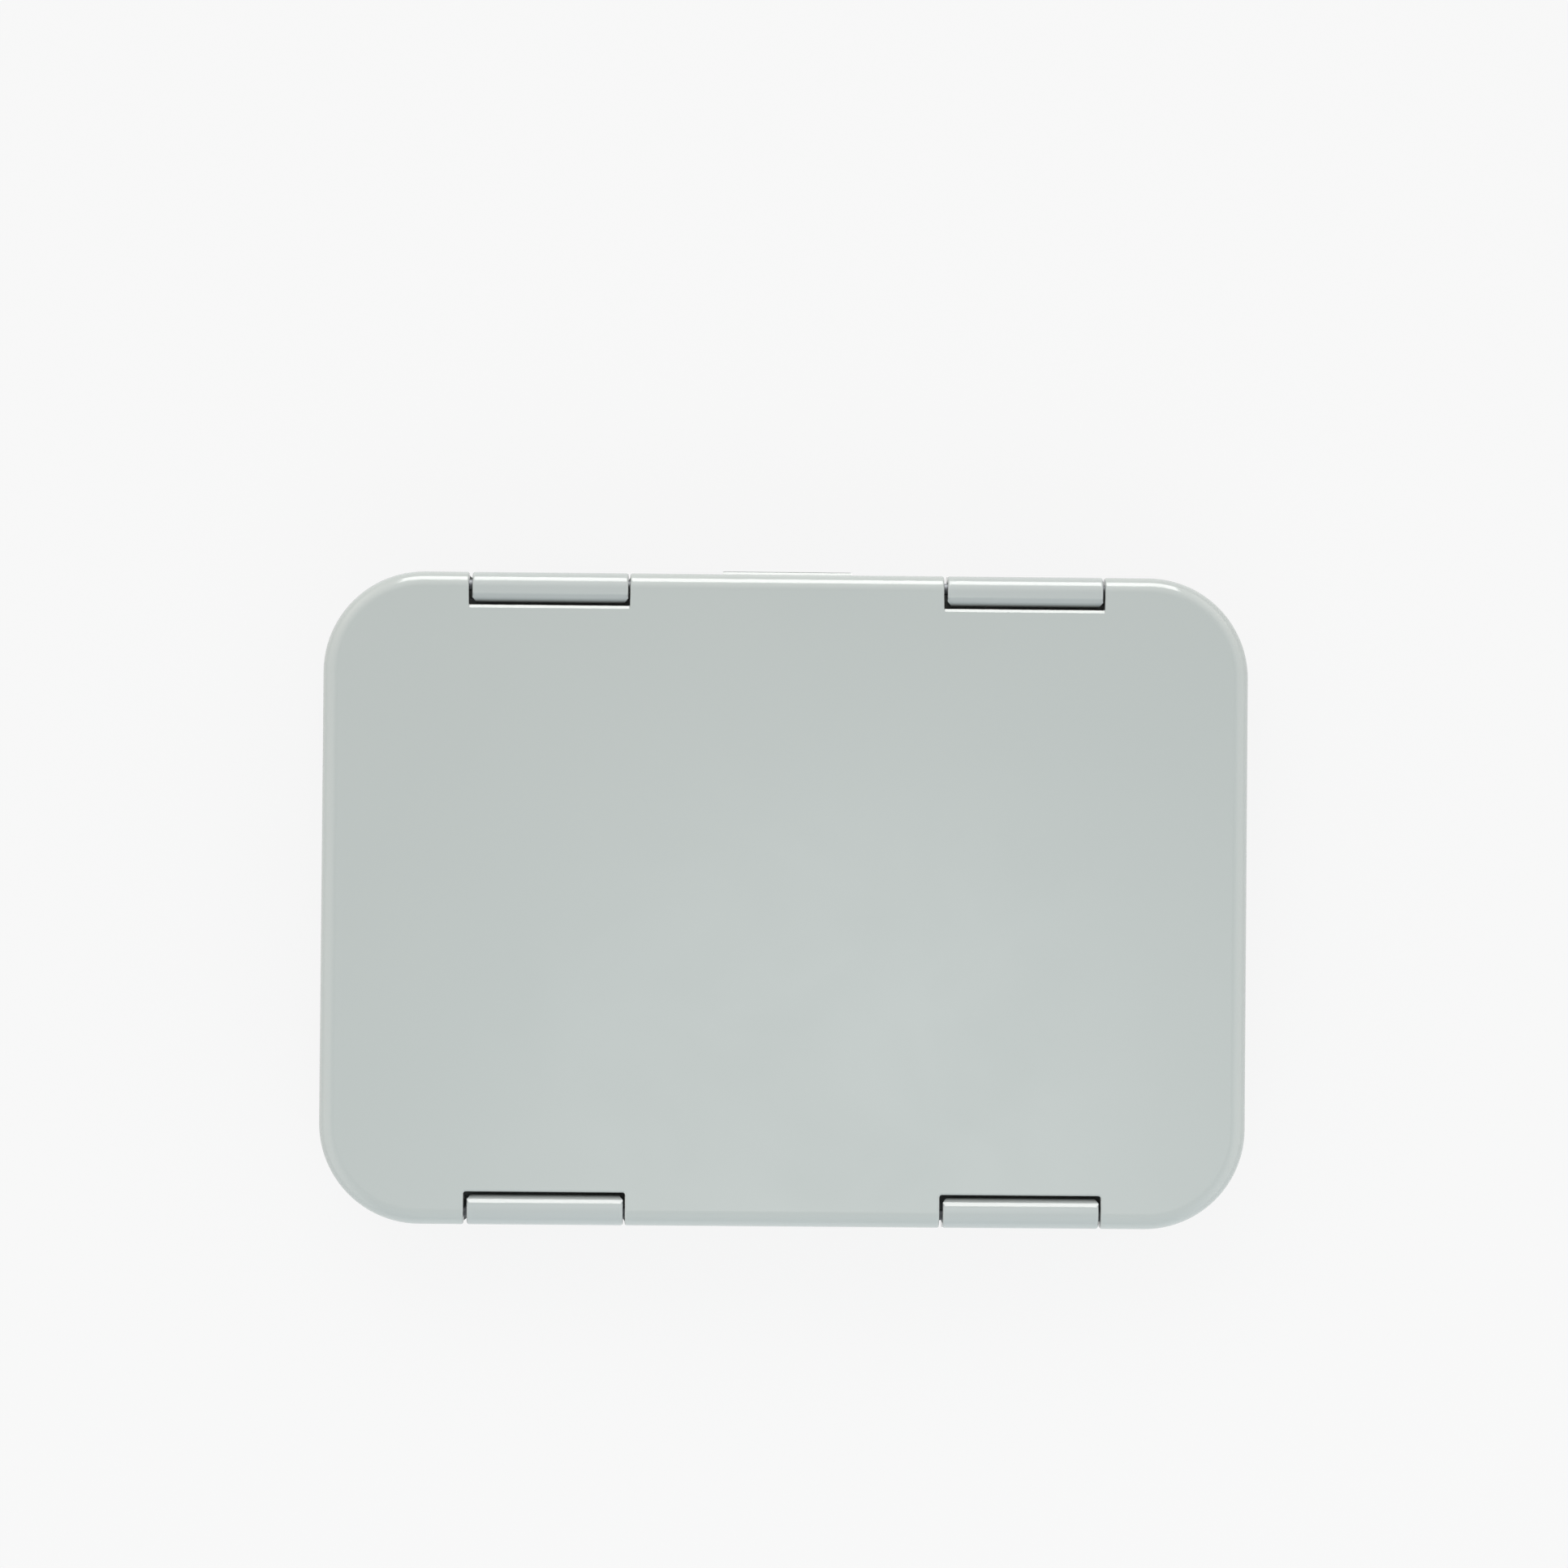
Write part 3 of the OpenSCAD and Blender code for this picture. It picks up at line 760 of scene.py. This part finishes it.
FLOAT, COLOR, VECTOR = "NodeSocketFloat", "NodeSocketColor", "NodeSocketVector"


def make_moulded_skin():
    """The long ripple and the fine grain of a moulded face, as a height."""
    group, got, out = new_group(
        "moulded_skin", [("Vector", VECTOR), ("Ripple Scale", FLOAT), ("Ripple", FLOAT),
                         ("Grain Scale", FLOAT), ("Grain", FLOAT)], [("Height", FLOAT)])
    parts = []
    for name, detail, rough in (("Ripple", 1.5, 0.4), ("Grain", 2.0, 0.5)):
        texture = add(group, "ShaderNodeTexNoise", Vector=got["Vector"],
                      Scale=got[f"{name} Scale"], Detail=detail, Roughness=rough)
        parts.append(maths(group, "MULTIPLY", texture.outputs["Fac"], got[name]))
    feed(group, out["Height"], maths(group, "ADD", *parts))
    return group


def make_hand_film():
    """Roughness that drifts between two values, as on a face that hands have wiped."""
    group, got, out = new_group(
        "hand_film", [("Vector", VECTOR), ("Scale", FLOAT), ("Clean", FLOAT),
                      ("Wiped", FLOAT)], [("Roughness", FLOAT)])
    cloud = add(group, "ShaderNodeTexNoise", Vector=got["Vector"], Scale=got["Scale"],
                Detail=5.0, Roughness=0.6, Distortion=0.6)
    feed(group, out["Roughness"],
         ramp(group, cloud.outputs["Fac"], 0.35, 0.7, got["Clean"], got["Wiped"]))
    return group


def make_tone_drift():
    """Two close tones of one material, drifting over the piece."""
    group, got, out = new_group(
        "tone_drift", [("Vector", VECTOR), ("Scale", FLOAT), ("Tone A", COLOR),
                       ("Tone B", COLOR)], [("Color", COLOR)])
    cloud = add(group, "ShaderNodeTexNoise", Vector=got["Vector"], Scale=got["Scale"],
                Detail=3.0, Roughness=0.55)
    share = ramp(group, cloud.outputs["Fac"], 0.3, 0.7)
    feed(group, out["Color"], blend(group, share, got["Tone A"], got["Tone B"]))
    return group


def make_open_cells():
    """The open cells of foam: one in the openings, and zero on the foam between them, as a
    height and as a share of painted shade.
    """
    group, got, out = new_group(
        "open_cells", [("Vector", VECTOR), ("Scale", FLOAT), ("Large Scale", FLOAT)],
        [("Height", FLOAT), ("Depth", FLOAT)])
    small, large = [add(group, "ShaderNodeTexVoronoi", Vector=got["Vector"], Scale=got[scale],
                        Randomness=1.0).outputs["Distance"]
                    for scale in ("Scale", "Large Scale")]
    both = maths(group, "MULTIPLY", ramp(group, small, 0.1, 0.55),
                 ramp(group, large, 0.05, 0.3))
    feed(group, out["Height"], both)
    feed(group, out["Depth"], both)
    return group


MOULDED_SKIN = make_moulded_skin()
HAND_FILM = make_hand_film()
TONE_DRIFT = make_tone_drift()
OPEN_CELLS = make_open_cells()


def use(tree, group, place, **values):
    """Places a node group, fed with the piece's own coordinates, for its outputs."""
    return add(tree, "ShaderNodeGroup", set_node_tree=group, Vector=place, **values).outputs


def start_material(name):
    """A material with its tree, its shader's inputs and the piece's own coordinates."""
    material = bpy.data.materials.new(name)
    material.use_nodes = True
    tree = material.node_tree
    place = add(tree, "ShaderNodeTexCoord").outputs["Object"]
    return material, tree, tree.nodes["Principled BSDF"].inputs, place


def shade_relief(tree, shader, height, distance):
    """Feeds a height to the shader's normal."""
    relief = add(tree, "ShaderNodeBump", Strength=1.0, Distance=distance, Height=height)
    feed(tree, shader["Normal"], relief.outputs["Normal"])


def pocket_shade_mask(tree, place):
    """One inside the base's four clip pockets, where the face is made rough and the colour is
    darkened as painted shade.
    """
    parts = add(tree, "ShaderNodeSeparateXYZ", Vector=place).outputs
    out = maths(tree, "ABSOLUTE", parts["Y"])
    along = maths(tree, "ABSOLUTE", maths(
        tree, "SUBTRACT", maths(tree, "ABSOLUTE", parts["X"]), CLIP_X * MM))
    limits = ((out, "GREATER_THAN", CASE_D / 2 - POCKET_D - POCKET_WALL - 0.1),
              (out, "LESS_THAN", CASE_D / 2 - BASE_IN - 0.2),
              (along, "LESS_THAN", NOTCH_W / 2 + 0.1),
              (parts["Z"], "GREATER_THAN", BASE_FLOOR - 0.2))
    inside = [maths(tree, how, part, limit * MM) for part, how, limit in limits]
    shade_mask = inside[0]
    for part in inside[1:]:
        shade_mask = maths(tree, "MULTIPLY", shade_mask, part)
    return shade_mask


def calm_flats(tree, shader, place):
    """Flat faces keep their gloss when faced, and lose most of it at a low angle."""
    plain_gloss, low_gloss = 0.5, 0.006
    glance = add(tree, "ShaderNodeFresnel", IOR=1.45).outputs[0]
    parts = add(tree, "ShaderNodeSeparateXYZ", Vector=place.node.outputs["Normal"]).outputs
    flat = maths(tree, "GREATER_THAN", maths(tree, "ABSOLUTE", parts["Z"]), 0.98)
    low_and_flat = maths(tree, "MULTIPLY", ramp(tree, glance, 0.045, 0.075), flat)
    feed(tree, shader["Specular IOR Level"],
         ramp(tree, low_and_flat, 0.0, 1.0, plain_gloss, low_gloss))


def moulded_plastic(name, tone_a, tone_b, clean, wiped, ripple, grain, ripple_scale,
                    bounce=1, rough_shaded_pockets=False):
    """Moulded plastic: a slight drift of tone, wiped patches, ripple and grain.

    A low bounce keeps light that has already met a surface from filling narrow gaps, by
    darkening the colour that bounced light sees: painted shade in the gaps."""
    material, tree, shader, place = start_material(name)
    color = use(tree, TONE_DRIFT, place, Scale=9, Tone_A=(*tone_a, 1),
                Tone_B=(*tone_b, 1))["Color"]
    rough = use(tree, HAND_FILM, place, Scale=26, Clean=clean, Wiped=wiped)["Roughness"]
    skin = use(tree, MOULDED_SKIN, place, Ripple_Scale=ripple_scale, Ripple=ripple,
               Grain_Scale=2400, Grain=grain)
    if bounce < 1:
        # Painted shade: for bounced light the colour is multiplied by the bounce share, which
        # darkens narrow gaps.
        again = add(tree, "ShaderNodeLightPath").outputs["Is Diffuse Ray"]
        color = blend(tree, again, color, (bounce, bounce, bounce, 1), "MULTIPLY")
    if rough_shaded_pockets:
        # Painted shade: inside the clip pockets the colour is multiplied by 0.7 to darken them.
        # The higher roughness there is the mould's own dull face.
        shade_mask = pocket_shade_mask(tree, place)
        color = blend(tree, shade_mask, color, (0.7, 0.7, 0.7, 1), "MULTIPLY")
        rough = blend_values(tree, shade_mask, rough, 0.8)
    feed(tree, shader["Base Color"], color)
    feed(tree, shader["Roughness"], rough)
    shade_relief(tree, shader, skin["Height"], 0.001)
    calm_flats(tree, shader, place)
    return material


def make_sponge_material():
    """Damp yellow foam, with painted shade darkening its cells."""
    material, tree, shader, place = start_material("damp_foam")
    cells = use(tree, OPEN_CELLS, place, Scale=1150, Large_Scale=420)
    tone = use(tree, TONE_DRIFT, place, Scale=22, Tone_A=(0.86, 0.60, 0.13, 1),
               Tone_B=(0.78, 0.50, 0.09, 1))["Color"]
    # Painted shade: the cell openings are darkened towards deep brown.
    feed(tree, shader["Base Color"], blend(tree, ramp(tree, cells["Depth"], 0.0, 0.9), tone,
                                           (0.34, 0.19, 0.025, 1)))
    shader["Roughness"].default_value = 0.85
    shader["Sheen Weight"].default_value = 0.25
    shade_relief(tree, shader, maths(tree, "MULTIPLY", cells["Height"], -1), 0.0006)
    return material


def make_paper_material():
    """Greaseproof paper: faint fibres, and a warmer tone where it is damp."""
    material, tree, shader, place = start_material("palette_parchment")
    stretch = add(tree, "ShaderNodeMapping", Vector=place, Scale=(1, 5, 1))
    fibre = add(tree, "ShaderNodeTexNoise", Vector=stretch.outputs["Vector"], Scale=420,
                Detail=6.0, Roughness=0.7).outputs
    tone = use(tree, TONE_DRIFT, place, Scale=16, Tone_A=(0.86, 0.81, 0.68, 1),
               Tone_B=(0.80, 0.73, 0.57, 1))["Color"]
    feed(tree, shader["Base Color"], blend(tree, 0.12, tone, fibre["Color"], "MULTIPLY"))
    film = use(tree, HAND_FILM, place, Scale=18, Clean=0.38, Wiped=0.62)
    feed(tree, shader["Roughness"], film["Roughness"])
    shade_relief(tree, shader, fibre["Fac"], 0.00004)
    return material


def make_steel_material():
    """Drawn steel: fine lines along the pin."""
    material, tree, shader, place = start_material("drawn_steel")
    stretch = add(tree, "ShaderNodeMapping", Vector=place, Scale=(0.04, 1, 1))
    lines = add(tree, "ShaderNodeTexNoise", Vector=stretch.outputs["Vector"], Scale=5200,
                Detail=3.0, Roughness=0.6).outputs["Fac"]
    tone = use(tree, TONE_DRIFT, place, Scale=90, Tone_A=(0.30, 0.31, 0.32, 1),
               Tone_B=(0.24, 0.25, 0.27, 1))
    feed(tree, shader["Base Color"], tone["Color"])
    feed(tree, shader["Roughness"], ramp(tree, lines, 0.0, 1.0, 0.5, 0.7))
    shader["Metallic"].default_value = 1
    shade_relief(tree, shader, lines, 0.000006)
    return material


CASE_LOOK = dict(tone_a=(0.535, 0.577, 0.564), tone_b=(0.545, 0.583, 0.568), clean=0.10,
                 wiped=0.16, ripple=0.006, grain=0.0001, ripple_scale=20, bounce=0.2)
CASE_PLASTIC = moulded_plastic("case_plastic", **CASE_LOOK)
BASE_PLASTIC = moulded_plastic("base_plastic", rough_shaded_pockets=True, **CASE_LOOK)
CLIP_PLASTIC = moulded_plastic(
    "clip_plastic", (0.525, 0.565, 0.560), (0.538, 0.577, 0.568), clean=0.10, wiped=0.15,
    ripple=0.004, grain=0.0001, ripple_scale=40, bounce=0.2)
TRAY_PLASTIC = moulded_plastic(
    "tray_plastic", (0.80, 0.81, 0.79), (0.83, 0.84, 0.82), clean=0.36, wiped=0.39,
    ripple=0.0, grain=0.0002, ripple_scale=14)
SEAL_RUBBER = moulded_plastic(
    "seal_silicone", (0.40, 0.45, 0.44), (0.44, 0.49, 0.48), clean=0.35, wiped=0.55,
    ripple=0.01, grain=0.0015, ripple_scale=60)
FOOT_RUBBER = moulded_plastic(
    "foot_rubber", (0.055, 0.060, 0.060), (0.075, 0.080, 0.080), clean=0.55, wiped=0.8,
    ripple=0.01, grain=0.006, ripple_scale=80)
SPONGE_FOAM = make_sponge_material()
PAPER_SHEET = make_paper_material()
PIN_STEEL = make_steel_material()


def dress(piece, material, body, slot_name, *nodes):
    """Gives a finished piece its material, its body and the nodes it stands for."""
    piece.data.materials.clear()
    piece.data.materials.append(material)
    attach(piece, body)
    if nodes:
        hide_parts(*nodes)


# ---------------------------------------------------------------- the object

dress(make_lid(), CASE_PLASTIC, "lid", "case_plastic", "lid_cover")
dress(make_lift_lip(), CASE_PLASTIC, "lid", "case_plastic")
dress(make_stakes(), CASE_PLASTIC, "lid", "case_plastic")
dress(make_liner(), TRAY_PLASTIC, "lid", "tray_plastic", "lid_liner")
dress(make_seal(), SEAL_RUBBER, "lid", "seal_silicone", "lid_seal")

clip_pattern, pin_pattern = make_clip(), make_pin()
for side, hand in SPOTS:
    spot = f"{SIDE_NAME[side]}_{HAND_NAME[hand]}"
    dress(copy_to_spot(clip_pattern, f"snap_clip_{spot}", side, hand, CLIP_PLAY),
          CLIP_PLASTIC, f"{SIDE_NAME[side]}_clip_{HAND_NAME[hand]}", "clip_plastic",
          f"clip_{spot}")
    dress(copy_to_spot(pin_pattern, f"steel_pin_{spot}", side, hand), PIN_STEEL,
          "lid", "pin_steel", f"pin_{spot}")
    dress(make_foot(side, hand), FOOT_RUBBER, "base", "foot_rubber", f"foot_{spot}")
for pattern in (clip_pattern, pin_pattern):
    bpy.data.objects.remove(pattern, do_unlink=True)

dress(make_base(), BASE_PLASTIC, "base", "case_plastic", "base_shell")
dress(make_tray(), TRAY_PLASTIC, "base", "tray_plastic", "inner_tray")
sponge = make_sponge()
dress(sponge, SPONGE_FOAM, "base", "sponge", "sponge")
dress(make_paper(), PAPER_SHEET, "base", "palette_paper", "palette_paper")


# ---------------------------------------------------------------- table, light and camera

BACKGROUND = 0.945
TABLE_GLOW = 0.93

# The soft light low in front, low behind and overhead, and where gloss sees the round glow
SOFT_FRONT, SOFT_REAR, SOFT_HIGH = 1.8, 0.92, 0.31
GLOW_PLACE = (-0.0315, 0.029, 0.9991)


def make_table():
    """A pale table that keeps a soft share of the object's shadow."""
    pick_up(None)
    bpy.ops.mesh.primitive_plane_add(size=14)
    table = just_made("table")
    material = bpy.data.materials.new("pale_table")
    material.use_nodes = True
    tree = material.node_tree
    tree.nodes.clear()
    path = add(tree, "ShaderNodeLightPath").outputs
    seen = maths(tree, "MAXIMUM", path["Is Camera Ray"], path["Is Glossy Ray"])
    seen = maths(tree, "MAXIMUM", seen, path["Is Transmission Ray"])
    matt = add(tree, "ShaderNodeBsdfDiffuse", Color=(0.9, 0.9, 0.9, 1))
    glow = add(tree, "ShaderNodeEmission", Color=(1, 1, 1, 1), Strength=BACKGROUND)
    mix = add(tree, "ShaderNodeMixShader")
    feed_in_turn(tree, mix, (maths(tree, "MULTIPLY", seen, TABLE_GLOW),
                             matt.outputs[0], glow.outputs[0]))
    add(tree, "ShaderNodeOutputMaterial", Surface=mix.outputs[0])
    table.data.materials.append(material)


def make_world():
    """An even studio: white for the camera, and brighter in front than behind in soft
    light. Gloss shows pale walls, a dim ceiling with a soft round glow in it, and the
    pale table's far and near sides."""
    world = bpy.data.worlds.new("studio")
    bpy.context.scene.world = world
    world.use_nodes = True
    tree = world.node_tree
    tree.nodes.clear()

    def smooth(source, low, high, from_low, from_high):
        return ramp(tree, source, from_low, from_high, low, high, "SMOOTHSTEP")

    path = add(tree, "ShaderNodeLightPath").outputs
    place = add(tree, "ShaderNodeTexCoord").outputs["Generated"]
    parts = add(tree, "ShaderNodeSeparateXYZ", Vector=place).outputs
    away = add(tree, "ShaderNodeVectorMath", set_operation="DISTANCE")
    feed_in_turn(tree, away, (place, GLOW_PLACE))
    sideways = maths(tree, "ABSOLUTE", parts["X"])

    walls = smooth(sideways, 0.3, 1.6, 0.25, 0.8)
    glow = smooth(away.outputs["Value"], 1.95, 0.3, 0.022, 0.08)
    far_side = smooth(parts["Y"], 0.0, 0.14, 0.0235, 0.0275)
    near_side = smooth(parts["Y"], 1.3, 0.0, -0.85, -0.2)
    gloss = maths(tree, "ADD", maths(tree, "MAXIMUM", walls, glow),
                  maths(tree, "ADD", far_side, near_side))

    level = smooth(parts["Y"], SOFT_FRONT, SOFT_REAR, -0.7, 0.5)
    dome = maths(tree, "MULTIPLY", smooth(parts["Z"], level, SOFT_HIGH, 0.0, 1.0),
                 smooth(parts["Z"], 0.45, 1.0, -0.1, 0.0))

    unseen = blend_values(tree, path["Is Glossy Ray"], dome, gloss)
    tint = blend(tree, smooth(sideways, 0.0, 1.0, 0.25, 0.75), (0.99, 1, 1, 1),
                 (1, 0.965, 0.93, 1))
    light = add(
        tree, "ShaderNodeBackground",
        Color=blend(tree, path["Is Camera Ray"], tint, (1, 1, 1, 1)),
        Strength=blend_values(tree, path["Is Camera Ray"], unseen, BACKGROUND))
    add(tree, "ShaderNodeOutputWorld", Surface=light.outputs[0])


def add_lamp(name, place, target, size, watts, color, soft):
    """A rectangular lamp turned to a target: soft light alone, or seen in gloss alone."""
    pick_up(None)
    bpy.ops.object.light_add(type="AREA", location=place)
    lamp = just_made(name)
    lamp.data.shape = "RECTANGLE"
    lamp.data.size, lamp.data.size_y = size
    lamp.data.energy, lamp.data.color = watts, color
    lamp.rotation_euler = (Vector(target) - Vector(place)).to_track_quat("-Z", "Y").to_euler()
    lamp.visible_camera = False
    lamp.visible_diffuse, lamp.visible_glossy = soft, not soft


def make_camera():
    """A long lens almost straight above, with the front at the top of the view."""
    data = bpy.data.cameras.new("view")
    camera = bpy.data.objects.new("view", data)
    bpy.context.collection.objects.link(camera)
    data.sensor_width = 36
    data.lens = 148.16
    data.clip_end = 50
    camera.location = (0.03384, 0.00163, 1.632)
    camera.rotation_euler = [math.radians(a) for a in (1.0812, -1.2051, 180.4912)]
    bpy.context.scene.camera = camera


make_table()
make_world()
add_lamp("front_bank", place=(0.35, -1.5, 1.7), target=(0, 0, 0), size=(1.6, 1.2), watts=13,
         color=(1, 0.985, 0.965), soft=True)
add_lamp("rear_bank", place=(-0.1, 0.65, 0.6), target=(0, 0, 0), size=(1.0, 0.5), watts=3.1,
         color=(0.84, 0.94, 1), soft=True)
add_lamp("edge_strip", place=(-0.05, -1.13, 0.38), target=(0, 0, 0.02), size=(0.92, 0.58),
         watts=13.4, color=(1, 0.99, 0.97), soft=False)
make_camera()
bpy.context.scene.view_settings.view_transform = "Standard"
